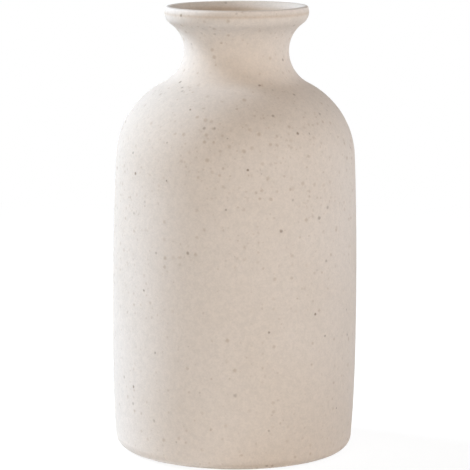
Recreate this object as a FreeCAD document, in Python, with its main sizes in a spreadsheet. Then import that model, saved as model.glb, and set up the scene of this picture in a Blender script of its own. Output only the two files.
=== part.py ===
import FreeCAD, Part
import math
import os
from collections import namedtuple

import Sketcher

# Bottle vase: a stoneware body, the speckled coat outside, the liner glaze inside and the felt pads
# under its foot. It turns about Z, the pads stand on z = 0, and lengths are in millimetres.

tolerance = 1e-6
millimetre = "1 mm"
doc = FreeCAD.newDocument("BottleVase")
sheet = doc.addObject("Spreadsheet::Sheet", "Sizes")

# Driving sizes. Heights are counted from the underside of the clay foot.
driving_sizes = {
    "clay_height": (250, "foot to the crest of the clay lip"),
    "belly_radius": (68.75, "largest radius of the clay"),
    "belly_height": (76, "height of the largest radius"),
    "wall_bow_radius": (2000, "slow bow of the upright wall"),
    "heel_height": (44.5, "height where the wall starts to draw in"),
    "heel_bow_radius": (680, "slow bow of the heel"),
    "base_corner_radius": (6.5, "rounding from the heel to the foot"),
    "shoulder_radius": (47, "rounding of the shoulder"),
    "neck_rise_radius": (21.5, "hollow curve from the shoulder to the throat"),
    "throat_radius": (29, "outside of the clay at the throat"),
    "throat_drop": (24.5, "crest of the lip down to the throat"),
    "lip_radius": (40, "largest radius of the clay lip"),
    "lip_edge_drop": (3, "crest of the lip down to its largest radius"),
    "lip_roll_radius": (7, "round underside and edge of the lip"),
    "lip_crown_radius": (1.2, "from the lip's edge over to the crest"),
    "rim_inner_radius": (2.5, "from the crest over to the mouth"),
    "wall_thickness": (4.5, "clay wall, measured square to it"),
    "floor_height": (9, "foot to the inside floor"),
    "floor_corner_radius": (14, "inside rounding from the wall to the floor"),
    "foot_ring_width": (11, "flat ring that carries the vase"),
    "foot_recess_depth": (2.5, "trimmed hollow inside the foot ring"),
    "recess_corner_radius": (1.5, "rounding at the roof of the hollow"),
    "foot_edge_radius": (0.8, "softened inner edge of the foot ring"),
    "coat_thickness": (0.5, "speckled coat"),
    "coat_edge_height": (1, "foot to the lower edge of the coat"),
    "liner_thickness": (0.4, "liner glaze"),
    "pad_radius": (4.5, "felt pad"),
    "pad_thickness": (1.2, "felt pad"),
    "pad_count": (4, "felt pads round the foot ring"),
    "first_pad_degrees": (45, "place of the first pad, from +X"),
}
for row, (alias, (value, note)) in enumerate(driving_sizes.items(), start=1):
    sheet.set(f"A{row}", alias)
    sheet.set(f"B{row}", str(value))
    sheet.set(f"C{row}", note)
    sheet.setAlias(f"B{row}", alias)
doc.recompute()


def size(alias):
    return float(getattr(sheet, alias))


# A turn is one arc of the half section, in radius and height. A walk up the outside and down the inside
# enters and leaves it at these angles, with the clay always on the left.
Turn = namedtuple("Turn", "centre radius enter leave")


def point_on(turn, angle):
    return FreeCAD.Vector(
        turn.centre[0] + turn.radius * math.cos(angle),
        turn.centre[1] + turn.radius * math.sin(angle),
        0,
    )


def angle_to(start, end):
    return math.atan2(end[1] - start[1], end[0] - start[0])


def step_from(start, angle, distance):
    return (start[0] + distance * math.cos(angle), start[1] + distance * math.sin(angle))


def rolling_centre(low, low_reach, high, high_reach):
    # Centre on the outer side that lies at one reach from the low centre and another from the high one.
    apart = math.dist(low, high)
    along = (low_reach**2 - high_reach**2 + apart**2) / (2 * apart)
    aside = math.sqrt(low_reach**2 - along**2)
    heading = angle_to(low, high)
    return step_from(step_from(low, heading, along), heading - math.pi / 2, aside)


def outer_turns():
    throat_height = size("clay_height") - size("throat_drop")
    wall_centre = (size("belly_radius") - size("wall_bow_radius"), size("belly_height"))
    # The heel leaves the wall at the heel height, and the corner rolls inside the heel on the foot plane.
    heel_join = math.asin((size("heel_height") - size("belly_height")) / size("wall_bow_radius"))
    heel_centre = step_from(wall_centre, heel_join, size("wall_bow_radius") - size("heel_bow_radius"))
    corner_reach = size("heel_bow_radius") - size("base_corner_radius")
    corner_join = math.asin((size("base_corner_radius") - heel_centre[1]) / corner_reach)
    corner_centre = step_from(heel_centre, corner_join, corner_reach)
    # The shoulder rolls inside the wall and outside the neck's hollow curve.
    rise_centre = (size("throat_radius") + size("neck_rise_radius"), throat_height)
    wall_reach = size("wall_bow_radius") - size("shoulder_radius")
    rise_reach = size("neck_rise_radius") + size("shoulder_radius")
    shoulder_centre = rolling_centre(wall_centre, wall_reach, rise_centre, rise_reach)
    shoulder_join = angle_to(wall_centre, shoulder_centre)
    rise_join = angle_to(shoulder_centre, rise_centre)
    # The crown rolls inside the lip's roll, up to the crest.
    roll_centre = (size("lip_radius") - size("lip_roll_radius"), size("clay_height") - size("lip_edge_drop"))
    crown_reach = size("lip_roll_radius") - size("lip_crown_radius")
    crown_join = math.asin((size("lip_edge_drop") - size("lip_crown_radius")) / crown_reach)
    crown_centre = step_from(roll_centre, crown_join, crown_reach)
    # The flare is upright at the throat and touches the roll.
    out = roll_centre[0] - size("throat_radius")
    up = roll_centre[1] - throat_height
    flare_radius = (out**2 + up**2 - size("lip_roll_radius") ** 2) / (2 * (out + size("lip_roll_radius")))
    flare_centre = (size("throat_radius") + flare_radius, throat_height)
    flare_join = angle_to(flare_centre, roll_centre)
    return {
        "corner": Turn(corner_centre, size("base_corner_radius"), -math.pi / 2, corner_join),
        "heel": Turn(heel_centre, size("heel_bow_radius"), corner_join, heel_join),
        "wall": Turn(wall_centre, size("wall_bow_radius"), heel_join, shoulder_join),
        "shoulder": Turn(shoulder_centre, size("shoulder_radius"), shoulder_join, rise_join),
        "rise": Turn(rise_centre, size("neck_rise_radius"), rise_join + math.pi, math.pi),
        "flare": Turn(flare_centre, flare_radius, math.pi, flare_join),
        "roll": Turn(roll_centre, size("lip_roll_radius"), flare_join - math.pi, crown_join),
        "crown": Turn(crown_centre, size("lip_crown_radius"), crown_join, math.pi / 2),
    }


def mouth_turns(outer):
    # The rim rounds over the crest, and the mouth runs down to the throat, where it is upright.
    wall = size("wall_thickness")
    throat_height = size("clay_height") - size("throat_drop")
    rim_centre = (outer["crown"].centre[0], size("clay_height") - size("rim_inner_radius"))
    out = rim_centre[0] - (size("throat_radius") - wall)
    up = rim_centre[1] - throat_height
    mouth_radius = (out**2 + up**2 - size("rim_inner_radius") ** 2) / (2 * (out - size("rim_inner_radius")))
    mouth_centre = (size("throat_radius") - wall + mouth_radius, throat_height)
    mouth_join = angle_to(mouth_centre, rim_centre)
    return {
        "rim": Turn(rim_centre, size("rim_inner_radius"), math.pi / 2, mouth_join),
        "mouth": Turn(mouth_centre, mouth_radius, mouth_join, math.pi),
    }


def inner_turns(outer):
    # The inside runs parallel to the outside from the throat down to the rounding at the floor.
    inner = turned_back({key: outer[key] for key in ("heel", "wall", "shoulder", "rise")}, -size("wall_thickness"))
    corner_height = size("floor_height") + size("floor_corner_radius")
    corner_reach = inner["heel"].radius - size("floor_corner_radius")
    corner_join = math.asin((corner_height - inner["heel"].centre[1]) / corner_reach)
    corner_centre = step_from(inner["heel"].centre, corner_join, corner_reach)
    inner["heel"] = inner["heel"]._replace(leave=corner_join)
    inner["floor_corner"] = Turn(corner_centre, size("floor_corner_radius"), corner_join, -math.pi / 2)
    return inner


def turned_back(turns, thickness):
    # The same turns walked the other way, on a surface that stands proud of them by a thickness.
    back = {}
    for key, turn in reversed(turns.items()):
        proud = thickness if turn.leave > turn.enter else -thickness
        back[key] = Turn(turn.centre, turn.radius + proud, turn.leave, turn.enter)
    return back


# A section lies in the body's own XZ plane. Its edges are kept by name, with the ends where the walk
# enters and leaves them.
Edge = namedtuple("Edge", "index entry exit")
start_index = 1
end_index = 2
centre_index = 3
width_axis_index = -1
height_axis_index = -2
origin = (width_axis_index, start_index)


def origin_plane(body, role):
    return next(plane for plane in body.Origin.OriginFeatures if plane.Role == role)


def new_sketch(body, label, role):
    sketch = body.newObject("Sketcher::SketchObject", label)
    sketch.AttachmentSupport = [(origin_plane(body, role), "")]
    sketch.MapMode = "FlatFace"
    return sketch


class Section:
    def __init__(self, body, label):
        self.sketch = new_sketch(body, label, "XZ_Plane")
        self.edges = {}

    def add_turns(self, turns, suffix=""):
        # Draws the turns in order, each one smooth with the last.
        previous = None
        for key, turn in turns.items():
            circle = Part.Circle(FreeCAD.Vector(*turn.centre, 0), FreeCAD.Vector(0, 0, 1), turn.radius)
            low, high = sorted((turn.enter, turn.leave))
            index = self.sketch.addGeometry(Part.ArcOfCircle(circle, low, high), False)
            leftward = turn.leave > turn.enter
            edge = Edge(index, *((start_index, end_index) if leftward else (end_index, start_index)))
            self.edges[key + suffix] = edge
            if previous:
                self.constrain("Tangent", *self.leaving(previous), *self.entering(key + suffix))
            previous = key + suffix

    def add_line(self, key, start, end):
        index = self.sketch.addGeometry(Part.LineSegment(start, end), False)
        self.edges[key] = Edge(index, start_index, end_index)

    def entering(self, key):
        return (self.edges[key].index, self.edges[key].entry)

    def leaving(self, key):
        return (self.edges[key].index, self.edges[key].exit)

    def gap(self, before, after):
        # Where one edge ends and the next begins.
        return self.sketch.getPoint(*self.leaving(before)), self.sketch.getPoint(*self.entering(after))

    def centre(self, key):
        return (self.edges[key].index, centre_index)

    def constrain(self, kind, *places):
        return self.sketch.addConstraint(Sketcher.Constraint(kind, *places))

    def bind(self, name, expression, kind, *places):
        # A dimension that follows the sheet; it starts at the value that the sheet gives now.
        value = self.sketch.evalExpression(expression)
        index = self.constrain(kind, *places, float(value))
        self.sketch.renameConstraint(index, name)
        self.sketch.setExpression(f"Constraints.{name}", expression)

    def bind_radius(self, key, expression):
        self.bind(f"{key}_radius", expression, "Radius", self.edges[key].index)

    def close(self, line, before, after):
        self.constrain("Coincident", *self.leaving(before), *self.entering(line))
        self.constrain("Coincident", *self.leaving(line), *self.entering(after))

    def same_centres(self, turns, suffix):
        for key in turns:
            self.constrain("Coincident", *self.centre(key + suffix), *self.centre(key))

    def bind_belly(self, inset, throat, heel_join):
        # Fixes the heel, wall, shoulder and rise of a surface that lies an inset inside the clay's outside,
        # given its points at the throat and between heel and wall.
        self.bind_radius("heel", f"Sizes.heel_bow_radius - {inset}")
        self.bind_radius("wall", f"Sizes.wall_bow_radius - {inset}")
        self.bind_radius("shoulder", f"Sizes.shoulder_radius - {inset}")
        self.bind_radius("rise", f"Sizes.neck_rise_radius + {inset}")
        self.bind(
            "wall_reach", "Sizes.wall_bow_radius - Sizes.belly_radius",
            "DistanceX", *self.centre("wall"), *origin,
        )
        self.bind("belly_height", "Sizes.belly_height", "DistanceY", *origin, *self.centre("wall"))
        self.bind(
            "heel_height",
            "Sizes.belly_height - (Sizes.belly_height - Sizes.heel_height)"
            f" * (Sizes.wall_bow_radius - {inset}) / Sizes.wall_bow_radius",
            "DistanceY", *origin, *heel_join,
        )
        self.bind("throat_radius", f"Sizes.throat_radius - {inset}", "DistanceX", *origin, *throat)
        self.bind("throat_height", "Sizes.clay_height - Sizes.throat_drop", "DistanceY", *origin, *throat)
        self.constrain("Horizontal", *self.centre("rise"), *throat)

    def bind_lip(self):
        # Fixes the roll, crown, rim and mouth.
        self.bind_radius("roll", "Sizes.lip_roll_radius")
        self.bind_radius("crown", "Sizes.lip_crown_radius")
        self.bind_radius("rim", "Sizes.rim_inner_radius")
        self.bind(
            "lip_reach", "Sizes.lip_radius - Sizes.lip_roll_radius",
            "DistanceX", *origin, *self.centre("roll"),
        )
        self.bind(
            "lip_edge_height", "Sizes.clay_height - Sizes.lip_edge_drop",
            "DistanceY", *origin, *self.centre("roll"),
        )
        self.bind("clay_height", "Sizes.clay_height", "DistanceY", *origin, *self.leaving("crown"))
        self.constrain("Vertical", *self.centre("crown"), *self.leaving("crown"))
        self.bind(
            "mouth_throat", "Sizes.throat_radius - Sizes.wall_thickness",
            "DistanceX", *origin, *self.leaving("mouth"),
        )
        self.constrain("Horizontal", *self.leaving("rise"), *self.leaving("mouth"))

    def bind_floor(self, suffix):
        # Fixes the rounding at the floor and the floor, which runs level to the axis.
        corner = f"floor_corner{suffix}"
        self.bind_radius(corner, "Sizes.floor_corner_radius")
        self.constrain("Tangent", *self.leaving(corner), *self.entering("floor"))
        self.constrain("Horizontal", self.edges["floor"].index)
        self.constrain("Coincident", *self.leaving("floor"), *self.entering("axis"))
        self.constrain("PointOnObject", *self.leaving("floor"), height_axis_index)
        self.bind("floor_height", "Sizes.floor_height", "DistanceY", *origin, *self.leaving("floor"))


def new_body(label):
    body = doc.addObject("PartDesign::Body", label)
    body.setExpression("Placement.Base.z", "Sizes.pad_thickness")
    return body


def revolve(body, section):
    turned = body.newObject("PartDesign::Revolution", f"{body.Label}_turned")
    turned.Profile = section.sketch
    turned.ReferenceAxis = (section.sketch, ["V_Axis"])
    turned.Angle = 360
    doc.recompute()
    return turned


# The outer radius of the flat foot ring is measured in the clay's section.
foot_radius = "clay_section.Constraints.foot_radius"
outer = outer_turns()
mouth = mouth_turns(outer)
inner = inner_turns(outer)


def circle_edges(shape, radius, height):
    # Names of the round edges of this radius that lie level at this height.
    names = []
    for number, edge in enumerate(shape.Edges, start=1):
        if isinstance(edge.Curve, Part.Circle) and math.isclose(edge.Curve.Radius, radius, abs_tol=tolerance):
            if math.isclose(edge.Curve.Center.z, height, abs_tol=tolerance):
                names.append(f"Edge{number}")
    return names


def stoneware_body():
    body = new_body("stoneware_body")
    section = Section(body, "clay_section")
    section.add_turns({**outer, **mouth})
    section.add_turns(inner, "_inside")
    foot_edge = point_on(outer["corner"], outer["corner"].enter)
    floor_edge = point_on(inner["floor_corner"], inner["floor_corner"].leave)
    axis_foot = FreeCAD.Vector(0, 0, 0)
    axis_floor = FreeCAD.Vector(0, floor_edge.y, 0)
    section.add_line("foot", axis_foot, foot_edge)
    section.add_line("floor", floor_edge, axis_floor)
    section.add_line("axis", axis_floor, axis_foot)
    section.constrain("Coincident", *section.entering("foot"), *origin)
    section.constrain("Horizontal", section.edges["foot"].index)
    section.constrain("Tangent", *section.leaving("foot"), *section.entering("corner"))
    section.bind_radius("corner", "Sizes.base_corner_radius")
    section.bind_belly("0", section.leaving("rise"), section.entering("wall"))
    section.bind_lip()
    section.same_centres(("rise", "shoulder", "wall", "heel"), "_inside")
    section.constrain("Tangent", *section.leaving("mouth"), *section.entering("rise_inside"))
    section.bind_floor("_inside")
    section.constrain("Coincident", *section.leaving("axis"), *section.entering("foot"))
    foot_width = section.constrain("DistanceX", *origin, *section.leaving("foot"), foot_edge.x)
    section.sketch.renameConstraint(foot_width, "foot_radius")
    section.sketch.setDriving(foot_width, False)
    turned = revolve(body, section)

    # The foot is trimmed hollow inside its ring.
    hollow = new_sketch(body, "hollow_circle", "XY_Plane")
    hollow_radius = foot_edge.x - size("foot_ring_width")
    hollow.addGeometry(Part.Circle(axis_foot, FreeCAD.Vector(0, 0, 1), hollow_radius), False)
    hollow.addConstraint(Sketcher.Constraint("Coincident", 0, centre_index, *origin))
    radius_index = hollow.addConstraint(Sketcher.Constraint("Radius", 0, hollow_radius))
    hollow.renameConstraint(radius_index, "hollow_radius")
    hollow.setExpression("Constraints.hollow_radius", f"{foot_radius} - Sizes.foot_ring_width * {millimetre}")
    recess = body.newObject("PartDesign::Pocket", "foot_recess")
    recess.Profile = hollow
    recess.Reversed = True
    recess.setExpression("Length", "Sizes.foot_recess_depth")
    doc.recompute()
    if recess.Shape.Volume >= turned.Shape.Volume:
        raise RuntimeError("the foot recess cuts nothing")

    rounded = recess
    for label, alias, height in (
        ("recess_roof_rounding", "recess_corner_radius", size("foot_recess_depth")),
        ("foot_edge_rounding", "foot_edge_radius", 0),
    ):
        rounding = body.newObject("PartDesign::Fillet", label)
        rounding.Base = (rounded, circle_edges(rounded.Shape, hollow_radius, height))
        rounding.setExpression("Radius", f"Sizes.{alias}")
        doc.recompute()
        rounded = rounding
    return body


def speckled_coat():
    body = new_body("speckled_coat")
    section = Section(body, "coat_section")
    # The coat starts a little above the foot, on the corner's rounding, and ends inside at the throat.
    corner = outer["corner"]
    edge_angle = math.asin((size("coat_edge_height") - corner.centre[1]) / corner.radius)
    under = {**outer, **mouth, "corner": corner._replace(enter=edge_angle)}
    section.add_turns(under)
    section.add_turns(turned_back(under, size("coat_thickness")), "_face")
    section.add_line("throat_end", *section.gap("mouth", "mouth_face"))
    section.add_line("foot_end", *section.gap("corner_face", "corner"))
    section.bind_radius("corner", "Sizes.base_corner_radius")
    section.bind_belly("0", section.leaving("rise"), section.entering("wall"))
    section.bind_lip()
    section.bind("corner_height", "Sizes.base_corner_radius", "DistanceY", *origin, *section.centre("corner"))
    section.bind("coat_edge_height", "Sizes.coat_edge_height", "DistanceY", *origin, *section.entering("corner"))
    section.same_centres(under, "_face")
    section.close("throat_end", "mouth", "mouth_face")
    section.close("foot_end", "corner_face", "corner")
    section.constrain("Horizontal", section.edges["throat_end"].index)
    section.constrain("Horizontal", *section.centre("mouth"), *section.leaving("mouth"))
    section.constrain("Perpendicular", section.edges["foot_end"].index, section.edges["corner"].index)
    section.bind(
        "coat_thickness", "Sizes.coat_thickness",
        "DistanceX", *section.leaving("throat_end"), *section.entering("throat_end"),
    )
    revolve(body, section)
    return body


def liner_glaze():
    body = new_body("liner_glaze")
    section = Section(body, "liner_section")
    section.add_turns(inner)
    face = turned_back(inner, size("liner_thickness"))
    section.add_turns(face, "_face")
    floor_edge = point_on(inner["floor_corner"], inner["floor_corner"].leave)
    face_edge = point_on(face["floor_corner"], face["floor_corner"].enter)
    axis_floor = FreeCAD.Vector(0, floor_edge.y, 0)
    axis_face = FreeCAD.Vector(0, face_edge.y, 0)
    section.add_line("floor", floor_edge, axis_floor)
    section.add_line("axis", axis_floor, axis_face)
    section.add_line("floor_face", axis_face, face_edge)
    section.add_line("throat_end", *section.gap("rise_face", "rise"))
    section.bind_belly("Sizes.wall_thickness", section.entering("rise"), section.leaving("wall"))
    section.bind_floor("")
    section.same_centres(inner, "_face")
    section.constrain("Coincident", *section.leaving("axis"), *section.entering("floor_face"))
    section.constrain("Tangent", *section.leaving("floor_face"), *section.entering("floor_corner_face"))
    section.constrain("Horizontal", section.edges["floor_face"].index)
    section.constrain("PointOnObject", *section.entering("floor_face"), height_axis_index)
    section.close("throat_end", "rise_face", "rise")
    section.constrain("Horizontal", section.edges["throat_end"].index)
    section.bind(
        "liner_thickness", "Sizes.liner_thickness",
        "DistanceX", *section.entering("throat_end"), *section.leaving("throat_end"),
    )
    revolve(body, section)
    return body


def felt_pads():
    # The pads sit in the middle of the foot ring, evenly round it.
    pads = []
    count = int(size("pad_count"))
    for number in range(count):
        pad = doc.addObject("Part::Cylinder", f"felt_pad_{number + 1}")
        pad.setExpression("Radius", "Sizes.pad_radius")
        pad.setExpression("Height", "Sizes.pad_thickness")
        ring_radius = f"({foot_radius} - Sizes.foot_ring_width * {millimetre} / 2)"
        bearing = f"((Sizes.first_pad_degrees + {number} * 360 / Sizes.pad_count) * 1 deg)"
        pad.setExpression("Placement.Base.x", f"{ring_radius} * cos({bearing})")
        pad.setExpression("Placement.Base.y", f"{ring_radius} * sin({bearing})")
        pads.append(pad)
    return pads


pieces = [stoneware_body(), speckled_coat(), liner_glaze(), *felt_pads()]
doc.recompute()

for item in doc.Objects:
    if "Invalid" in item.State or "Error" in item.State:
        raise RuntimeError(f"{item.Label} did not build: {item.State}")
for piece in pieces:
    if piece.Shape.isNull() or not piece.Shape.isValid() or len(piece.Shape.Solids) != 1:
        raise RuntimeError(f"{piece.Label} is not one sound solid")

os.makedirs("parts", exist_ok=True)
for piece in pieces:
    piece.Shape.exportStep(f"parts/{piece.Label}.step")
    box = piece.Shape.optimalBoundingBox(True, False)
    print(f"{piece.Label}: {piece.Shape.Volume:.0f} mm3, z {box.ZMin:.2f} to {box.ZMax:.2f}")
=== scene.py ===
import math

import bpy
from mathutils import Matrix, Vector


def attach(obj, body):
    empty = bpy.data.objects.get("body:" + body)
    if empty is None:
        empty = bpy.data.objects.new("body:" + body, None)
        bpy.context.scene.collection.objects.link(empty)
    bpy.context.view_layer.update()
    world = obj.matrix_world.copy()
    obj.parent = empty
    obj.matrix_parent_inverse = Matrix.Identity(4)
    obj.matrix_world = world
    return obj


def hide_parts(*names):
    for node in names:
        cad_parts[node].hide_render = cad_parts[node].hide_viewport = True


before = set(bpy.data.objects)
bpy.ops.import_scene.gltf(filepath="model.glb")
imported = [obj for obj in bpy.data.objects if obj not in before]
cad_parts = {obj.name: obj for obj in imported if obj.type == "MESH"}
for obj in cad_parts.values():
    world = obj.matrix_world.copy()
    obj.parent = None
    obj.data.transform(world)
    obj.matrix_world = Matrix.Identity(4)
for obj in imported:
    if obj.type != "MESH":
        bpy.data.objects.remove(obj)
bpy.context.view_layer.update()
scene = bpy.context.scene
mm = 0.001
print("frame loaded:", ", ".join(sorted(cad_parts)))

# Sizes of the thrown vase in millimetres, heights counted from the clay foot.
vaseShape = {
    "height": 250,
    "bellyRadius": 68.75,
    "bellyHeight": 76,
    "wallBow": 2000,
    "heelHeight": 44.5,
    "heelBow": 680,
    "footCorner": 6.5,
    "shoulderRound": 47,
    "neckRise": 21.5,
    "throatRadius": 29,
    "throatDrop": 24.5,
    "lipRadius": 40,
    "lipEdgeDrop": 3,
    "lipRoll": 7,
    "lipCrown": 1.2,
    "rimInside": 2.5,
    "wall": 4.5,
    "floor": 9,
    "floorCorner": 14,
    "ringWidth": 11,
    "recessDepth": 2.5,
    "recessCorner": 1.5,
    "footEdge": 0.8,
    "coat": 0.5,
    "coatStart": 1,
    "liner": 0.4,
    "padHeight": 1.2,
}

# How the hand left it, in millimetres: a wall that wanders a little, and a mouth that isn't quite level.
handOfMaker = {
    "uneven": 0.14,
    "unevenSize": 55,
    "mouthTilt": 0.0104,  # drop for each step across
    "tiltStart": 15,  # below the throat
    "seed": 4.0,
}

# How finely an outline is traced: radians, millimetres and shares of a flat face's radius.
tracing = {
    "largestTurn": 0.07,
    "longestStep": 3,
    "fewestSteps": 3,
    "softEdgeSteps": 5,
    "flatRings": (0.3, 0.6),
    "samePlace": 1e-4,
}


def headingOf(start, end):
    return math.atan2(end[1] - start[1], end[0] - start[0])


def stepFrom(start, angle, distance):
    return start[0] + distance * math.cos(angle), start[1] + distance * math.sin(angle)


# An arc is (centre radius, centre height, radius, first angle, last angle). Walking up the outside and down
# the inside, the clay is on the left of every arc.
def vaseArcs(s):
    throat = s["height"] - s["throatDrop"]
    wallAt = (s["bellyRadius"] - s["wallBow"], s["bellyHeight"])
    heelTurn = math.asin((s["heelHeight"] - s["bellyHeight"]) / s["wallBow"])
    heelAt = stepFrom(wallAt, heelTurn, s["wallBow"] - s["heelBow"])
    cornerReach = s["heelBow"] - s["footCorner"]
    cornerTurn = math.asin((s["footCorner"] - heelAt[1]) / cornerReach)
    cornerAt = stepFrom(heelAt, cornerTurn, cornerReach)
    # the shoulder rolls inside the wall and outside the hollow of the neck
    riseAt = (s["throatRadius"] + s["neckRise"], throat)
    low, high = s["wallBow"] - s["shoulderRound"], s["neckRise"] + s["shoulderRound"]
    apart = math.dist(wallAt, riseAt)
    along = (low ** 2 - high ** 2 + apart ** 2) / (2 * apart)
    aside = math.sqrt(low ** 2 - along ** 2)
    heading = headingOf(wallAt, riseAt)
    shoulderAt = stepFrom(stepFrom(wallAt, heading, along), heading - math.pi / 2, aside)
    shoulderTurn, riseTurn = headingOf(wallAt, shoulderAt), headingOf(shoulderAt, riseAt)
    # the flare leaves the throat upright and meets the roll of the lip, and the crown rolls inside that
    rollAt = (s["lipRadius"] - s["lipRoll"], s["height"] - s["lipEdgeDrop"])
    crownReach = s["lipRoll"] - s["lipCrown"]
    crownTurn = math.asin((s["lipEdgeDrop"] - s["lipCrown"]) / crownReach)
    crownAt = stepFrom(rollAt, crownTurn, crownReach)
    out, up = rollAt[0] - s["throatRadius"], rollAt[1] - throat
    flare = (out ** 2 + up ** 2 - s["lipRoll"] ** 2) / (2 * (out + s["lipRoll"]))
    flareAt = (s["throatRadius"] + flare, throat)
    flareTurn = headingOf(flareAt, rollAt)
    # the rim turns over the crest and the mouth runs down to the throat
    rimAt = (crownAt[0], s["height"] - s["rimInside"])
    out, up = rimAt[0] - s["throatRadius"] + s["wall"], rimAt[1] - throat
    mouth = (out ** 2 + up ** 2 - s["rimInside"] ** 2) / (2 * (out - s["rimInside"]))
    mouthAt = (s["throatRadius"] - s["wall"] + mouth, throat)
    mouthTurn = headingOf(mouthAt, rimAt)
    outside = [
        (*cornerAt, s["footCorner"], -math.pi / 2, cornerTurn),
        (*heelAt, s["heelBow"], cornerTurn, heelTurn),
        (*wallAt, s["wallBow"], heelTurn, shoulderTurn),
        (*shoulderAt, s["shoulderRound"], shoulderTurn, riseTurn),
        (*riseAt, s["neckRise"], riseTurn + math.pi, math.pi),
        (*flareAt, flare, math.pi, flareTurn),
        (*rollAt, s["lipRoll"], flareTurn - math.pi, crownTurn),
        (*crownAt, s["lipCrown"], crownTurn, math.pi / 2),
        (*rimAt, s["rimInside"], math.pi / 2, mouthTurn),
        (*mouthAt, mouth, mouthTurn, math.pi),
    ]
    # below the throat the inside runs parallel to the outside, down to the rounding at the floor
    wall = s["wall"]
    floorReach = s["heelBow"] - wall - s["floorCorner"]
    floorTurn = math.asin((s["floor"] + s["floorCorner"] - heelAt[1]) / floorReach)
    floorAt = stepFrom(heelAt, floorTurn, floorReach)
    inside = [
        (*riseAt, s["neckRise"] + wall, math.pi, riseTurn + math.pi),
        (*shoulderAt, s["shoulderRound"] - wall, riseTurn, shoulderTurn),
        (*wallAt, s["wallBow"] - wall, shoulderTurn, heelTurn),
        (*heelAt, s["heelBow"] - wall, heelTurn, floorTurn),
        (*floorAt, s["floorCorner"], floorTurn, -math.pi / 2),
    ]
    return outside, inside


def sampleArc(arc, proud=0, first=None, last=None):
    # points along an arc, on a face that stands proud of the clay
    radiusAt, heightAt, radius, start, end = arc
    away = proud if end > start else -proud
    start = start if first is None else first
    end = end if last is None else last
    swept = abs(end - start)
    bySwing = math.ceil(swept / tracing["largestTurn"])
    byLength = math.ceil(swept * radius / tracing["longestStep"])
    steps = max(tracing["fewestSteps"], bySwing, byLength)
    turns = [start + (end - start) * n / steps for n in range(steps + 1)]
    return [stepFrom((radiusAt, heightAt), turn, radius + away) for turn in turns]


def softEnd(arc, thick, atStart):
    # the quarter-round edge where a layer of glaze feathers out on the clay
    radiusAt, heightAt, radius, start, end = arc
    way = 1 if end > start else -1
    steps = tracing["softEdgeSteps"]
    points = []
    for n in range(steps + 1):
        part = math.radians(90 * n / steps)
        proud = way * thick * math.cos(part)
        back = way * thick / radius * (1 - math.sin(part))
        turn = start + back if atStart else end - back
        points.append(stepFrom((radiusAt, heightAt), turn, radius + proud))
    return points[::-1] if atStart else points


def flatRun(radius, height):
    # from the axis out across a flat face, short of its edge
    return [(0, height)] + [(radius * share, height) for share in tracing["flatRings"]]


def joined(*runs):
    points = []
    for run in runs:
        for point in run:
            if not points or math.dist(points[-1], point) > tracing["samePlace"]:
                points.append(point)
    return points


def looped(*runs):
    points = joined(*runs)
    return points if math.dist(points[0], points[-1]) > tracing["samePlace"] else points[:-1]


def coatOutline(s):
    outside = vaseArcs(s)[0]
    corner = outside[0]
    start = math.asin((s["coatStart"] - corner[1]) / corner[2])
    outside[0] = (*corner[:3], start, corner[4])
    thick = s["coat"]
    trimFirst, trimLast = thick / outside[0][2], thick / outside[-1][2]
    face = [softEnd(outside[0], thick, True)]
    for n, arc in enumerate(outside):
        first = arc[3] + trimFirst if n == 0 else None
        last = arc[4] + trimLast if n == len(outside) - 1 else None
        face.append(sampleArc(arc, thick, first, last))
    face.append(softEnd(outside[-1], thick, False))
    back = [sampleArc(arc)[::-1] for arc in reversed(outside)]
    return looped(*face, *back)


def clayOutline(s):
    outside, inside = vaseArcs(s)
    hollow = outside[0][0] - s["ringWidth"]
    depth, roof, edge = s["recessDepth"], s["recessCorner"], s["footEdge"]
    underneath = [
        flatRun(hollow, depth),
        sampleArc((hollow - roof, depth - roof, roof, math.pi / 2, 0)),
        sampleArc((hollow + edge, edge, edge, math.pi, math.pi * 1.5)),
    ]
    floor = flatRun(hollow, s["floor"])[::-1]
    return joined(*underneath, *[sampleArc(arc) for arc in outside + inside], floor)


def linerOutline(s):
    inside = vaseArcs(s)[1]
    thick = s["liner"]
    first = inside[0]
    start = first[3] + thick / first[2]
    face = [softEnd(first, thick, True), sampleArc(first, thick, start)]
    face += [sampleArc(arc, thick) for arc in inside[1:]]
    corner = face[-1][-1][0]
    face.append(flatRun(corner, s["floor"] + thick)[::-1])
    back = [flatRun(corner, s["floor"])]
    back += [sampleArc(arc)[::-1] for arc in reversed(inside)]
    return looped(*face, *back)


# Short ways to build node trees.
def plug(tree, socket, value):
    if isinstance(value, bpy.types.NodeSocket):
        tree.links.new(value, socket)
    else:
        socket.default_value = value


def shown(sockets, name):
    return next(s for s in sockets if s.name == name and s.enabled)


def add(tree, kind, settings=None, **inputs):
    made = tree.nodes.new(kind)
    for name, value in (settings or {}).items():
        setattr(made, name, value)
    for name, value in inputs.items():
        plug(tree, shown(made.inputs, name.replace("_", " ")), value)
    return made


def numbered(tree, kind, operation, values):
    # a maths node, its inputs filled in order
    made = tree.nodes.new(kind)
    made.operation = operation
    for socket, value in zip(made.inputs, values):
        plug(tree, socket, value)
    return made.outputs[0]


def calc(tree, operation, *values):
    return numbered(tree, "ShaderNodeMath", operation, values)


def vectorCalc(tree, operation, *values):
    return numbered(tree, "ShaderNodeVectorMath", operation, values)


def scaled(tree, vector, amount):
    return add(tree, "ShaderNodeVectorMath", {"operation": "SCALE"}, Vector=vector, Scale=amount).outputs[0]


def lengthOf(tree, vector):
    return add(tree, "ShaderNodeVectorMath", {"operation": "LENGTH"}, Vector=vector).outputs["Value"]


def axes(tree, vector):
    return add(tree, "ShaderNodeSeparateXYZ", Vector=vector).outputs


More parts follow.
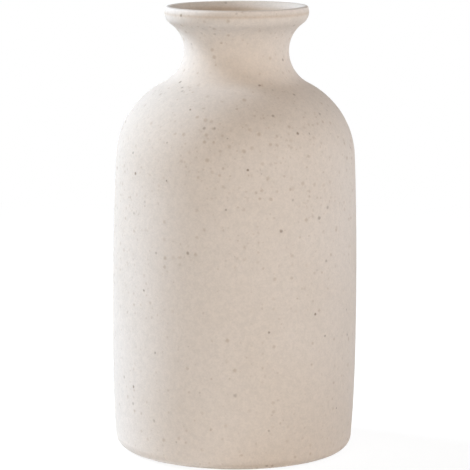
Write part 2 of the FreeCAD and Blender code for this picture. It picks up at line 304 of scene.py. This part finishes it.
def remap(tree, value, fromLow, fromHigh, toLow=0.0, toHigh=1.0, smooth=True):
    kind = "SMOOTHSTEP" if smooth else "LINEAR"
    made = add(tree, "ShaderNodeMapRange", {"interpolation_type": kind}, Value=value)
    for name, limit in (("From Min", fromLow), ("From Max", fromHigh), ("To Min", toLow), ("To Max", toHigh)):
        plug(tree, shown(made.inputs, name), limit)
    return shown(made.outputs, "Result")


def spread(tree, value, low, high):
    # an even spread from low to high
    return remap(tree, value, 0.0, 1.0, low, high, smooth=False)


def tint(tree, mask, under, over):
    made = add(tree, "ShaderNodeMix", {"data_type": "RGBA"}, Factor=mask, A=under, B=over)
    return shown(made.outputs, "Result")


def noise(tree, vector, scale, detail=2.0, rough=0.5, stretch=None):
    if stretch:
        vector = vectorCalc(tree, "MULTIPLY", vector, stretch)
    made = add(tree, "ShaderNodeTexNoise", Vector=vector, Scale=scale, Detail=detail, Roughness=rough)
    return made.outputs[0]


def newGroup(name, kind, inputs, outputs):
    tree = bpy.data.node_groups.new(name, kind)
    for way, sockets in (("INPUT", inputs), ("OUTPUT", outputs)):
        for label, (socketKind, value) in sockets.items():
            socket = tree.interface.new_socket(label, in_out=way, socket_type="NodeSocket" + socketKind)
            if value is not None:
                socket.default_value = value
    return tree, tree.nodes.new("NodeGroupInput").outputs, tree.nodes.new("NodeGroupOutput").inputs


# The wheel: turns an outline of points (radius in X, height in Z) into a closed round form.
wheelRules = {
    "calmRadius": 0.002,  # nearer the axis than this nothing wanders
    "fullRadius": 0.02,
    "wanderDetail": 1.0,
    "wanderRoughness": 0.4,
    "seam": 1e-6,
}


def makeWheel(rules):
    tree, given, result = newGroup(
        "pottersWheel", "GeometryNodeTree",
        {
            "Outline": ("Geometry", None),
            "Segments": ("Int", 256),
            "Loop": ("Int", 1),
            "Uneven": ("Float", 0.0),
            "Uneven Size": ("Float", 0.05),
            "Seed": ("Float", 0.0),
            "Mouth Tilt": ("Float", 0.0),
            "Mouth Radius": ("Float", 0.04),
            "Tilt From": ("Float", 0.2),
            "Tilt To": ("Float", 0.25),
            "Finish": ("Material", None),
        },
        {"Form": ("Geometry", None)},
    )
    size = add(tree, "GeometryNodeAttributeDomainSize", {"component": "MESH"}, Geometry=given["Outline"])
    pointCount = size.outputs["Point Count"]
    columns = calc(tree, "ADD", given["Segments"], 1)
    grid = tree.nodes.new("GeometryNodeMeshGrid")
    plug(tree, grid.inputs["Vertices X"], calc(tree, "ADD", pointCount, given["Loop"]))
    plug(tree, grid.inputs["Vertices Y"], columns)
    index = tree.nodes.new("GeometryNodeInputIndex").outputs[0]
    row = calc(tree, "FLOOR", calc(tree, "DIVIDE", index, columns))
    onOutline = calc(tree, "MODULO", row, pointCount)
    column = calc(tree, "MODULO", index, columns)
    turn = calc(tree, "DIVIDE", calc(tree, "MULTIPLY", column, math.tau), given["Segments"])

    def carried(kind, value):
        made = add(
            tree, "GeometryNodeSampleIndex", {"data_type": kind},
            Geometry=given["Outline"], Index=onOutline,
        )
        plug(tree, shown(made.inputs, "Value"), value)
        return shown(made.outputs, "Value")

    place = carried("FLOAT_VECTOR", tree.nodes.new("GeometryNodeInputPosition").outputs[0])
    # the wear and painted light of each outline point, carried onto the turned form
    wearAndPaintedLight = add(tree, "GeometryNodeInputNamedAttribute", {"data_type": "FLOAT"}, Name="wearAndPaintedLight")
    wearAndPaintedLightHere = carried("FLOAT", shown(wearAndPaintedLight.outputs, "Attribute"))
    split = axes(tree, place)
    radius, height = split["X"], split["Z"]
    cosine, sine = calc(tree, "COSINE", turn), calc(tree, "SINE", turn)
    # the same wander at the same height and bearing, so nested layers stay together
    level = calc(tree, "DIVIDE", height, given["Uneven Size"])
    around = add(tree, "ShaderNodeCombineXYZ", X=cosine, Y=sine, Z=level)
    wander = add(
        tree, "ShaderNodeTexNoise", {"noise_dimensions": "4D"},
        Vector=around.outputs[0], W=given["Seed"], Scale=1.0,
        Detail=rules["wanderDetail"], Roughness=rules["wanderRoughness"],
    )
    loose = remap(tree, radius, rules["calmRadius"], rules["fullRadius"])
    swing = calc(tree, "MULTIPLY", calc(tree, "MULTIPLY", wander.outputs[0], given["Uneven"]), loose)
    across = calc(tree, "SUBTRACT", radius, swing)
    x, y = calc(tree, "MULTIPLY", across, cosine), calc(tree, "MULTIPLY", across, sine)
    low = calc(tree, "MULTIPLY", calc(tree, "SUBTRACT", given["Mouth Radius"], x), given["Mouth Tilt"])
    low = calc(tree, "MULTIPLY", low, remap(tree, height, given["Tilt From"], given["Tilt To"]))
    stood = add(tree, "ShaderNodeCombineXYZ", X=x, Y=y, Z=calc(tree, "SUBTRACT", height, low))
    marked = add(
        tree, "GeometryNodeStoreNamedAttribute", {"data_type": "FLOAT", "domain": "POINT"},
        Geometry=grid.outputs["Mesh"], Name="wearAndPaintedLight",
    )
    plug(tree, shown(marked.inputs, "Value"), wearAndPaintedLightHere)
    turned = add(tree, "GeometryNodeSetPosition", Geometry=marked.outputs[0], Position=stood.outputs[0])
    closed = add(tree, "GeometryNodeMergeByDistance", Geometry=turned.outputs[0], Distance=rules["seam"])
    smooth = add(tree, "GeometryNodeSetShadeSmooth", Geometry=closed.outputs[0])
    finished = add(tree, "GeometryNodeSetMaterial", Geometry=smooth.outputs[0], Material=given["Finish"])
    real = add(tree, "GeometryNodeRealizeInstances", Geometry=finished.outputs[0])
    plug(tree, result["Form"], real.outputs[0])
    return tree


wheel = makeWheel(wheelRules)


def throwPiece(name, outline, settings, material, wearAndLightAt=None, offset=(0, 0, 0)):
    host = bpy.data.meshes.new(name + "Outline")
    host.from_pydata([(r * mm, 0, z * mm) for r, z in outline], [], [])
    # for the coat: real thinning at its edges, a painted highlight on the crest, and painted shade in the
    # mouth and under the crest
    wearAndPaintedLight = [wearAndLightAt(point) if wearAndLightAt else 0.0 for point in outline]
    host.attributes.new("wearAndPaintedLight", "FLOAT", "POINT").data.foreach_set("value", wearAndPaintedLight)
    maker = bpy.data.objects.new(name + "Maker", host)
    scene.collection.objects.link(maker)
    turning = maker.modifiers.new("turning", "NODES")
    turning.node_group = wheel
    settings = {**settings, "Finish": material}
    for item in wheel.interface.items_tree:
        if item.item_type == "SOCKET" and item.in_out == "INPUT" and item.name in settings:
            turning[item.identifier] = settings[item.name]
    graph = bpy.context.evaluated_depsgraph_get()
    mesh = bpy.data.meshes.new_from_object(maker.evaluated_get(graph), depsgraph=graph)
    mesh.name = name
    bpy.data.objects.remove(maker)
    mesh.transform(Matrix.Translation(Vector(offset) * mm))
    piece = bpy.data.objects.new(name, mesh)
    scene.collection.objects.link(piece)
    print(name, len(mesh.polygons), "faces")
    return piece


# Specks of iron that bleed through a glaze: one in each cell of a loose grid, of its own size and strength.
speckRules = {
    "frayScale": 5.0,
    "smallest": 0.45,
    "faintest": 0.35,
}


def makeIronSpecks(rules):
    tree, given, result = newGroup(
        "ironSpecks", "ShaderNodeTree",
        {
            "Vector": ("Vector", None),
            "Cells": ("Float", 200.0),
            "Reach": ("Float", 0.2),
            "Chance": ("Float", 0.5),
            "Ragged": ("Float", 0.15),
            "Softness": ("Float", 0.5),
        },
        {"Mask": ("Float", None)},
    )
    cells = scaled(tree, given["Vector"], given["Cells"])
    fray = add(tree, "ShaderNodeTexNoise", Vector=cells, Scale=rules["frayScale"], Detail=1.0)
    frayed = vectorCalc(tree, "MULTIPLY_ADD", fray.outputs[1], given["Ragged"], cells)
    cell = add(tree, "ShaderNodeTexVoronoi", Vector=frayed, Scale=1.0)
    lot = add(tree, "ShaderNodeSeparateColor", Color=cell.outputs["Color"]).outputs
    there = calc(tree, "LESS_THAN", lot[0], given["Chance"])
    reach = calc(tree, "MULTIPLY", given["Reach"], spread(tree, lot[1], rules["smallest"], 1.0))
    core = calc(tree, "MULTIPLY", reach, calc(tree, "SUBTRACT", 1.0, given["Softness"]))
    mask = calc(tree, "MULTIPLY", remap(tree, cell.outputs["Distance"], reach, core), there)
    plug(tree, result["Mask"], calc(tree, "MULTIPLY", mask, spread(tree, lot[2], rules["faintest"], 1.0)))
    return tree


# The tooth of sandy clay or dry glaze: grains, with broader lumps under them.
grainRules = {
    "grainRoughness": 0.6,
    "lumpRoughness": 0.5,
    "toneRange": (0.3, 0.7),
}


def makeSandGrain(rules):
    tree, given, result = newGroup(
        "sandGrain", "ShaderNodeTree",
        {
            "Vector": ("Vector", None),
            "Grain": ("Float", 1100.0),
            "Lumps": ("Float", 160.0),
            "Share": ("Float", 0.6),
        },
        {"Tone": ("Float", None), "Height": ("Float", None)},
    )
    fine = noise(tree, given["Vector"], given["Grain"], rough=rules["grainRoughness"])
    broad = noise(tree, given["Vector"], given["Lumps"], rough=rules["lumpRoughness"])
    mixed = add(tree, "ShaderNodeMix", {"data_type": "FLOAT"}, Factor=given["Share"], A=broad, B=fine)
    height = shown(mixed.outputs, "Result")
    plug(tree, result["Height"], height)
    plug(tree, result["Tone"], remap(tree, height, *rules["toneRange"]))
    return tree


ironSpecks, sandGrain = makeIronSpecks(speckRules), makeSandGrain(grainRules)


def use(tree, group, **inputs):
    made = tree.nodes.new("ShaderNodeGroup")
    made.node_tree = group
    for name, value in inputs.items():
        plug(tree, made.inputs[name], value)
    return made.outputs


def newFinish(name, plain):
    material = bpy.data.materials.new(name)
    material.use_nodes = True
    tree = material.node_tree
    shader = tree.nodes["Principled BSDF"]
    for label, value in plain.items():
        shader.inputs[label].default_value = value
    vector = tree.nodes.new("ShaderNodeTexCoord").outputs["Object"]
    return material, tree, shader, vector


def addBump(tree, shader, bump, height):
    made = add(tree, "ShaderNodeBump", Strength=bump["strength"], Distance=bump["depth"], Height=height)
    plug(tree, shader.inputs["Normal"], made.outputs[0])


def throwingRings(tree, vector, r):
    # faint grooves of the throwing, evenly spaced up the wall
    drift = calc(tree, "MULTIPLY", noise(tree, vector, r["driftScale"], detail=1.0), r["wobble"])
    height = calc(tree, "ADD", axes(tree, vector)["Z"], drift)
    return calc(tree, "SINE", calc(tree, "MULTIPLY", height, math.tau / r["spacing"]))


# Where the coat thins, where a highlight is painted on its crest, and where shade is painted in the mouth and
# in a band under the crest, in millimetres below its crest unless it says otherwise.
coatEdges = {
    "mouthPaintedShade": 0.8,
    "mouthStart": 2,
    "mouthOver": 4,
    "mouthReach": 2,  # in thicknesses of the coat
    "crestOver": 2.4,
    "underCrestPaintedShade": 0.4,
    "underCrestAt": 3.6,
    "underCrestOver": 3,
    "footOver": 2,  # above and below the coat's lower edge
}


def coatWearAndLight(s, edges):
    # Above 0 the coat has thinned over an edge, with a painted highlight on the crest; below 0 it carries
    # painted shade, darker further down the mouth and in a band under the crest.
    mouth = vaseArcs(s)[0][-1]
    top = s["height"] + s["coat"]
    mouthReach = edges["mouthReach"] * s["coat"]

    def wearAndLightAt(point):
        below = top - point[1]
        # painted shade, darker further down into the mouth
        if point[1] >= mouth[1] and abs(math.dist(point, mouth[:2]) - mouth[2]) < mouthReach:
            return -min(edges["mouthPaintedShade"], max(0.0, below - edges["mouthStart"]) / edges["mouthOver"])
        crest = 1 - below / edges["crestOver"]
        foot = 1 - abs(point[1] - s["coatStart"]) / edges["footOver"]
        # painted shade in a band under the crest
        warm = edges["underCrestPaintedShade"] - abs(below - edges["underCrestAt"]) / edges["underCrestOver"]
        return max(crest, foot, 0.0) or min(-warm, 0.0)

    return wearAndLightAt


# The coat outside, over the lip and down to the throat.
speckledCoat = {
    "pale": (0.728, 0.640, 0.562, 1),
    "warm": (0.700, 0.606, 0.520, 1),
    "driftScale": 11.0,
    "driftRange": (0.35, 0.68),
    "tan": (0.43, 0.305, 0.205, 1),
    "brown": (0.24, 0.165, 0.105, 1),
    # their colour, how strongly they show and how they lie
    "specks": (
        ("tan", 0.32, {"Cells": 330.0, "Reach": 0.38, "Chance": 0.9, "Ragged": 0.25, "Softness": 0.8}),
        ("tan", 0.46, {"Cells": 235.0, "Reach": 0.42, "Chance": 0.74, "Ragged": 0.18, "Softness": 0.75}),
        ("brown", 0.85, {"Cells": 160.0, "Reach": 0.25, "Chance": 0.46, "Ragged": 0.10, "Softness": 0.75}),
    ),
    "gatherScale": 26.0,
    "gatherRange": (0.38, 0.62, 0.55, 1.25),
    # two heights in metres, and how many specks there are at each
    "towardsFoot": (0.085, 0.16, 0.36, 1.15),
    "towardsLip": (0.212, 0.19, 0.45, 1.0),
    # thinned glaze at the foot, and on the crest also a painted highlight
    "thinnedAndHighlight": (0.88, 0.80, 0.73, 1),
    "thinnedAndHighlightShows": 0.85,
    # painted shade for the mouth and the band under the crest
    "paintedShade": (0.52, 0.365, 0.225, 1),
    "paintedShadeShows": 0.9,
    "specularLevel": 0.28,
    "roughness": 0.86,
    "roughnessRange": (0.80, 0.92),
    "speckGloss": 0.2,
    "grain": {"Grain": 850.0, "Lumps": 300.0, "Share": 0.6},
    "grainLight": (0.94, 1.048),
    "speckPits": 0.35,
    "rings": {"driftScale": 18.0, "wobble": 0.004, "spacing": 0.0065},
    "ringDepth": 0.05,
    "bump": {"strength": 0.5, "depth": 0.00045},
    "segments": 264,
}


def makeCoatFinish(c):
    plain = {"Roughness": c["roughness"], "Specular IOR Level": c["specularLevel"]}
    material, tree, shader, vector = newFinish("speckledCoatFinish", plain)
    drift = remap(tree, noise(tree, vector, c["driftScale"]), *c["driftRange"])
    colour = tint(tree, drift, c["pale"], c["warm"])
    wearAndPaintedLight = add(tree, "ShaderNodeAttribute", {"attribute_type": "GEOMETRY", "attribute_name": "wearAndPaintedLight"})
    wearAndPaintedLight = wearAndPaintedLight.outputs["Fac"]
    # thinned glaze at the edges, with a painted highlight on the crest
    thinAndHighlight = calc(tree, "MULTIPLY", calc(tree, "MAXIMUM", wearAndPaintedLight, 0.0), c["thinnedAndHighlightShows"])
    colour = tint(tree, thinAndHighlight, colour, c["thinnedAndHighlight"])
    # painted shade in the mouth and under the crest
    warm = calc(tree, "MAXIMUM", calc(tree, "MULTIPLY", wearAndPaintedLight, -1.0), 0.0)
    colour = tint(tree, calc(tree, "MULTIPLY", warm, c["paintedShadeShows"]), colour, c["paintedShade"])
    # sand shows as slightly paler and darker grains
    grain = use(tree, sandGrain, Vector=vector, **c["grain"])
    colour = scaled(tree, colour, spread(tree, grain["Tone"], *c["grainLight"]))
    # specks gather in loose drifts, thickest on the shoulder and thinner towards the foot and the lip
    gather = remap(tree, noise(tree, vector, c["gatherScale"], detail=1.0), *c["gatherRange"])
    height = axes(tree, vector)["Z"]
    for heights in ("towardsFoot", "towardsLip"):
        gather = calc(tree, "MULTIPLY", gather, remap(tree, height, *c[heights]))
    masks = []
    for shade, shows, lie in c["specks"]:
        chance = calc(tree, "MULTIPLY", gather, lie["Chance"])
        mask = use(tree, ironSpecks, Vector=vector, **{**lie, "Chance": chance})["Mask"]
        masks.append(mask)
        colour = tint(tree, calc(tree, "MULTIPLY", mask, shows), colour, c[shade])
    plug(tree, shader.inputs["Base Color"], colour)
    tanMask, brownMask = masks[1:]
    rough = spread(tree, grain["Tone"], *c["roughnessRange"])
    glossy = calc(tree, "MULTIPLY", brownMask, c["speckGloss"])
    plug(tree, shader.inputs["Roughness"], calc(tree, "SUBTRACT", rough, glossy))
    pits = calc(tree, "MULTIPLY", calc(tree, "ADD", tanMask, brownMask), -c["speckPits"])
    wheelMarks = calc(tree, "MULTIPLY", throwingRings(tree, vector, c["rings"]), c["ringDepth"])
    relief = calc(tree, "ADD", calc(tree, "ADD", grain["Height"], pits), wheelMarks)
    addBump(tree, shader, c["bump"], relief)
    return material


# The clay itself, bare only under the foot.
bareClay = {
    "pale": (0.52, 0.40, 0.29, 1),
    "toasted": (0.42, 0.29, 0.19, 1),
    "toastScale": 30.0,
    "toastRange": (0.35, 0.65),
    "grog": (0.20, 0.13, 0.08, 1),
    "grogShows": 0.7,
    "grogPits": 0.3,
    "grogSpecks": {"Cells": 330.0, "Reach": 0.24, "Chance": 0.5, "Ragged": 0.2, "Softness": 0.5},
    "specularLevel": 0.25,
    "roughness": 0.92,
    "grain": {"Grain": 1500.0, "Lumps": 260.0, "Share": 0.7},
    "grainLight": (0.9, 1.08),
    "trimSpacing": 0.0024,
    "trimDepth": 0.18,
    "bump": {"strength": 0.5, "depth": 0.0004},
    "segments": 224,
}


def makeClayFinish(c):
    plain = {"Roughness": c["roughness"], "Specular IOR Level": c["specularLevel"]}
    material, tree, shader, vector = newFinish("bareClayFinish", plain)
    grain = use(tree, sandGrain, Vector=vector, **c["grain"])
    toast = remap(tree, noise(tree, vector, c["toastScale"], detail=3.0), *c["toastRange"])
    colour = tint(tree, toast, c["pale"], c["toasted"])
    grog = use(tree, ironSpecks, Vector=vector, **c["grogSpecks"])["Mask"]
    colour = tint(tree, calc(tree, "MULTIPLY", grog, c["grogShows"]), colour, c["grog"])
    colour = scaled(tree, colour, spread(tree, grain["Tone"], *c["grainLight"]))
    plug(tree, shader.inputs["Base Color"], colour)
    # the trimming tool leaves rings on the foot
    across = lengthOf(tree, vectorCalc(tree, "MULTIPLY", vector, (1, 1, 0)))
    trimmed = calc(tree, "SINE", calc(tree, "MULTIPLY", across, math.tau / c["trimSpacing"]))
    trimmed = calc(tree, "MULTIPLY", trimmed, c["trimDepth"])
    marks = calc(tree, "SUBTRACT", trimmed, calc(tree, "MULTIPLY", grog, c["grogPits"]))
    addBump(tree, shader, c["bump"], calc(tree, "ADD", grain["Height"], marks))
    return material


# The glaze inside, from the throat down and across the floor.
linerGlaze = {
    "glaze": (0.60, 0.51, 0.40, 1),
    "pooled": (0.50, 0.40, 0.29, 1),
    "poolHeights": (0.06, 0.012),
    "poolRange": (0.15, 1.1),
    "runScale": 40.0,
    "runStretch": (1, 1, 0.12),
    "runShows": 0.5,
    "speck": (0.22, 0.15, 0.10, 1),
    "speckShows": 0.6,
    "specks": {"Cells": 210.0, "Reach": 0.16, "Chance": 0.4, "Ragged": 0.12, "Softness": 0.6},
    "coatWeight": 0.25,
    "coatRoughness": 0.2,
    "roughness": 0.36,
    "roughnessRange": (0.30, 0.46),
    "grain": {"Grain": 420.0, "Lumps": 90.0, "Share": 0.25},
    "bump": {"strength": 0.18, "depth": 0.0004},
    "segments": 224,
}


def makeLinerFinish(c):
    plain = {
        "Roughness": c["roughness"],
        "Coat Weight": c["coatWeight"],
        "Coat Roughness": c["coatRoughness"],
    }
    material, tree, shader, vector = newFinish("linerGlazeFinish", plain)
    # glaze runs down the wall and pools darker by the floor
    runs = noise(tree, vector, c["runScale"], stretch=c["runStretch"])
    depth = remap(tree, axes(tree, vector)["Z"], *c["poolHeights"])
    pool = calc(tree, "ADD", depth, calc(tree, "MULTIPLY", runs, c["runShows"]))
    colour = tint(tree, remap(tree, pool, *c["poolRange"]), c["glaze"], c["pooled"])
    speck = use(tree, ironSpecks, Vector=vector, **c["specks"])["Mask"]
    colour = tint(tree, calc(tree, "MULTIPLY", speck, c["speckShows"]), colour, c["speck"])
    plug(tree, shader.inputs["Base Color"], colour)
    grain = use(tree, sandGrain, Vector=vector, **c["grain"])
    plug(tree, shader.inputs["Roughness"], spread(tree, grain["Tone"], *c["roughnessRange"]))
    addBump(tree, shader, c["bump"], grain["Height"])
    return material


# The stick-on pads under the foot, in millimetres: a punched disc of pressed felt.
feltPad = {
    "count": 4,
    "firstDegrees": 45,
    "radius": 4.5,
    "height": vaseShape["padHeight"],
    "edge": 0.3,
    "uneven": 0.12,
    "unevenSize": 0.9,
    "firstSeed": 10.0,
    "segments": 72,
    "pale": (0.40, 0.355, 0.315, 1),
    "dark": (0.25, 0.22, 0.195, 1),
    "specularLevel": 0.1,
    "roughness": 1.0,
    "sheen": 0.35,
    "fibreDetail": 3.0,
    "fibreRoughness": 0.65,
    "fibres": (2600.0, (1, 0.35, 1.4)),
    "matted": (1900.0, (0.4, 1, 1.3)),
    "fuzzRange": (0.36, 0.64),
    "grain": {"Grain": 5200.0, "Lumps": 700.0, "Share": 0.5},
    "bump": {"strength": 0.7, "depth": 0.0003},
}


def makeFeltFinish(c):
    plain = {
        "Roughness": c["roughness"],
        "Specular IOR Level": c["specularLevel"],
        "Sheen Weight": c["sheen"],
    }
    material, tree, shader, vector = newFinish("feltFinish", plain)
    hairs = []
    for scale, stretch in (c["fibres"], c["matted"]):
        hairs.append(noise(tree, vector, scale, c["fibreDetail"], c["fibreRoughness"], stretch))
    fuzz = calc(tree, "MULTIPLY", calc(tree, "ADD", *hairs), 0.5)
    grain = use(tree, sandGrain, Vector=vector, **c["grain"])
    tone = calc(tree, "MULTIPLY", calc(tree, "ADD", remap(tree, fuzz, *c["fuzzRange"]), grain["Tone"]), 0.5)
    plug(tree, shader.inputs["Base Color"], tint(tree, tone, c["dark"], c["pale"]))
    addBump(tree, shader, c["bump"], calc(tree, "ADD", fuzz, grain["Height"]))
    return material


coatFinish, clayFinish = makeCoatFinish(speckledCoat), makeClayFinish(bareClay)
linerFinish, feltFinish = makeLinerFinish(linerGlaze), makeFeltFinish(feltPad)
print("finishes made")

# The vase, turned piece by piece on the same wheel.
s = vaseShape
lift = (0, 0, s["padHeight"])
hand = {
    "Uneven": handOfMaker["uneven"] * mm,
    "Uneven Size": handOfMaker["unevenSize"] * mm,
    "Seed": handOfMaker["seed"],
    "Mouth Tilt": handOfMaker["mouthTilt"],
    "Mouth Radius": (s["lipRadius"] + s["coat"]) * mm,
    "Tilt From": (s["height"] - s["throatDrop"] - handOfMaker["tiltStart"]) * mm,
    "Tilt To": s["height"] * mm,
}
coatTurn = {**hand, "Segments": speckledCoat["segments"], "Loop": 1}
coat = throwPiece("glazedCoat", coatOutline(s), coatTurn, coatFinish, coatWearAndLight(s, coatEdges), lift)
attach(coat, "root")
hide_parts("speckled_coat")
clayTurn = {**hand, "Segments": bareClay["segments"], "Loop": 0}
clay = throwPiece("thrownClay", clayOutline(s), clayTurn, clayFinish, None, lift)
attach(clay, "root")
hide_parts("stoneware_body")
linerTurn = {**hand, "Segments": linerGlaze["segments"], "Loop": 1}
liner = throwPiece("innerGlaze", linerOutline(s), linerTurn, linerFinish, None, lift)
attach(liner, "root")
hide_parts("liner_glaze")


def padOutline(p):
    radius, height, edge = p["radius"], p["height"], p["edge"]
    top = sampleArc((radius - edge, height - edge, edge, 0, math.pi / 2))
    bottom = sampleArc((radius - edge, edge, edge, -math.pi / 2, 0))
    return joined([(0, 0), (radius / 2, 0)], bottom, top, [(radius / 2, height), (0, height)])


ring = vaseArcs(s)[0][0][0] - s["ringWidth"] / 2
padTurn = {
    "Uneven": feltPad["uneven"] * mm,
    "Uneven Size": feltPad["unevenSize"] * mm,
    "Segments": feltPad["segments"],
    "Loop": 0,
}
for n in range(feltPad["count"]):
    bearing = math.radians(feltPad["firstDegrees"] + 360 * n / feltPad["count"])
    place = (ring * math.cos(bearing), ring * math.sin(bearing), 0)
    cut = {**padTurn, "Seed": feltPad["firstSeed"] + n}
    pad = throwPiece(f"feltFoot{n + 1}", padOutline(feltPad), cut, feltFinish, None, place)
    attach(pad, "root")
    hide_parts(f"felt_pad_{n + 1}")
print("pieces made")

# A plain white studio.
studio = {
    "frontGlow": (1.24, 1.15, 1.08),
    "lowFrontGlow": (2.15, 1.85, 1.5),
    "sideGlow": (4.8, 5.0, 5.4),
    "sideDegrees": 96,
    # heights of the sky, 0 at the horizon and 1 overhead, between which a glow fades
    "lowEnds": (0.24, 0.18),
    "aloftStarts": (0.18, 0.24),
    "aloftEnds": (0.78, 0.70),
    "quarterEdge": (0.6, 0.8),  # cosines, from its side inwards
    "keyPower": 98.0,
    "keyColour": (0.695, 0.825, 0.98),
    "keyFrom": (-2.051, 0.871, 1.479),
    "keyAt": (0, 0, 0.15),
    "keySize": 0.9,
    "floorRadius": 6.0,
    "floorSides": 64,
    "floorColour": (0.9, 0.895, 0.88, 1),
    "floorShows": 0.16,
    "floorGlow": 0.93,
    "shadowFades": (0.4, 0.9),
    "white": (1, 1, 1, 1),
}


def whiteToCamera(tree):
    # what the camera, mirrors and glass see is plain white
    rays = tree.nodes.new("ShaderNodeLightPath").outputs
    through = calc(tree, "MAXIMUM", rays["Is Glossy Ray"], rays["Is Transmission Ray"])
    return calc(tree, "MAXIMUM", rays["Is Camera Ray"], through)


def eitherShader(tree, share, first, second):
    made = add(tree, "ShaderNodeMixShader", Fac=share)
    plug(tree, made.inputs[1], first.outputs[0])
    plug(tree, made.inputs[2], second.outputs[0])
    return made


def makeWorld(st):
    world = bpy.data.worlds.new("studioWorld")
    scene.world = world
    world.use_nodes = True
    tree = world.node_tree
    tree.nodes.clear()
    split = axes(tree, tree.nodes.new("ShaderNodeTexCoord").outputs["Generated"])
    up = split["Z"]
    # the level part of a direction, kept off nought for the division
    level = calc(tree, "SUBTRACT", 1.0, calc(tree, "MULTIPLY", up, up))
    level = calc(tree, "SQRT", calc(tree, "MAXIMUM", level, 1e-4))
    low = remap(tree, up, *st["lowEnds"])
    aloft = calc(tree, "MULTIPLY", remap(tree, up, *st["aloftStarts"]), remap(tree, up, *st["aloftEnds"]))

    def quarter(band, degrees):
        # a quarter of the horizon, seen from in front round to the right
        turn = math.radians(degrees)
        across = calc(tree, "MULTIPLY", split["X"], math.sin(turn))
        along = calc(tree, "MULTIPLY", split["Y"], math.cos(turn))
        facing = calc(tree, "DIVIDE", calc(tree, "SUBTRACT", across, along), level)
        return calc(tree, "MULTIPLY", band, remap(tree, facing, *st["quarterEdge"]))

    # soft light from in front, and low light from in front and from the right
    total = (0, 0, 0)
    for amount, colour in (
        (quarter(aloft, 0), st["frontGlow"]),
        (quarter(low, 0), st["lowFrontGlow"]),
        (quarter(low, st["sideDegrees"]), st["sideGlow"]),
    ):
        total = vectorCalc(tree, "MULTIPLY_ADD", colour, amount, total)
    soft = add(tree, "ShaderNodeBackground", Color=total, Strength=1.0)
    white = add(tree, "ShaderNodeBackground", Color=st["white"], Strength=1.0)
    both = eitherShader(tree, whiteToCamera(tree), soft, white)
    plug(tree, add(tree, "ShaderNodeOutputWorld").inputs["Surface"], both.outputs[0])


def makeFloorPaint(st):
    paint = bpy.data.materials.new("floorPaint")
    paint.use_nodes = True
    tree = paint.node_tree
    tree.nodes.clear()
    matt = add(tree, "ShaderNodeBsdfDiffuse", Color=st["floorColour"])
    pale = add(tree, "ShaderNodeBsdfDiffuse", Color=(st["floorShows"],) * 3 + (1,))
    glow = add(tree, "ShaderNodeEmission", Color=st["white"], Strength=st["floorGlow"])
    lit = add(tree, "ShaderNodeAddShader")
    plug(tree, lit.inputs[0], pale.outputs[0])
    plug(tree, lit.inputs[1], glow.outputs[0])
    # away from the object the floor is as white as the wall
    away = lengthOf(tree, tree.nodes.new("ShaderNodeTexCoord").outputs["Object"])
    white = add(tree, "ShaderNodeEmission", Color=st["white"], Strength=1.0)
    seen = eitherShader(tree, remap(tree, away, *st["shadowFades"]), lit, white)
    both = eitherShader(tree, whiteToCamera(tree), matt, seen)
    plug(tree, add(tree, "ShaderNodeOutputMaterial").inputs["Surface"], both.outputs[0])
    return paint


makeWorld(studio)
floorMesh = bpy.data.meshes.new("studioFloor")
corners = []
for n in range(studio["floorSides"]):
    corners.append((*stepFrom((0, 0), math.tau * n / studio["floorSides"], studio["floorRadius"]), 0))
floorMesh.from_pydata(corners, [], [tuple(range(studio["floorSides"]))])
floorMesh.materials.append(makeFloorPaint(studio))
floor = bpy.data.objects.new("studioFloor", floorMesh)
scene.collection.objects.link(floor)

key = bpy.data.lights.new("windowLight", "AREA")
key.shape = "DISK"
key.size = studio["keySize"]
key.energy = studio["keyPower"]
key.color = studio["keyColour"]
keyLamp = bpy.data.objects.new("windowLight", key)
scene.collection.objects.link(keyLamp)
keyLamp.location = studio["keyFrom"]
keyLamp.rotation_euler = (Vector(studio["keyAt"]) - keyLamp.location).to_track_quat("-Z", "Y").to_euler()

# Where the photo was taken from: metres, degrees, and millimetres of lens.
view = {
    "distance": 1.35014,
    "height": 0.34842,
    "pitch": 9.589,
    "roll": 0.432,
    "lens": 185.12,
    "sensor": 36,
    "nearest": 0.05,
    "farthest": 50,
}
lens = bpy.data.cameras.new("photoCamera")
lens.lens = view["lens"]
lens.sensor_width = view["sensor"]
lens.clip_start, lens.clip_end = view["nearest"], view["farthest"]
camera = bpy.data.objects.new("photoCamera", lens)
scene.collection.objects.link(camera)
pitch = Matrix.Rotation(math.radians(90 - view["pitch"]), 4, "X")
roll = Matrix.Rotation(math.radians(view["roll"]), 4, "Z")
stands = (0, -view["distance"], view["height"] + vaseShape["padHeight"] * mm)
camera.matrix_world = Matrix.Translation(stands) @ pitch @ roll
scene.camera = camera
scene.view_settings.view_transform = "Standard"
print("studio set")
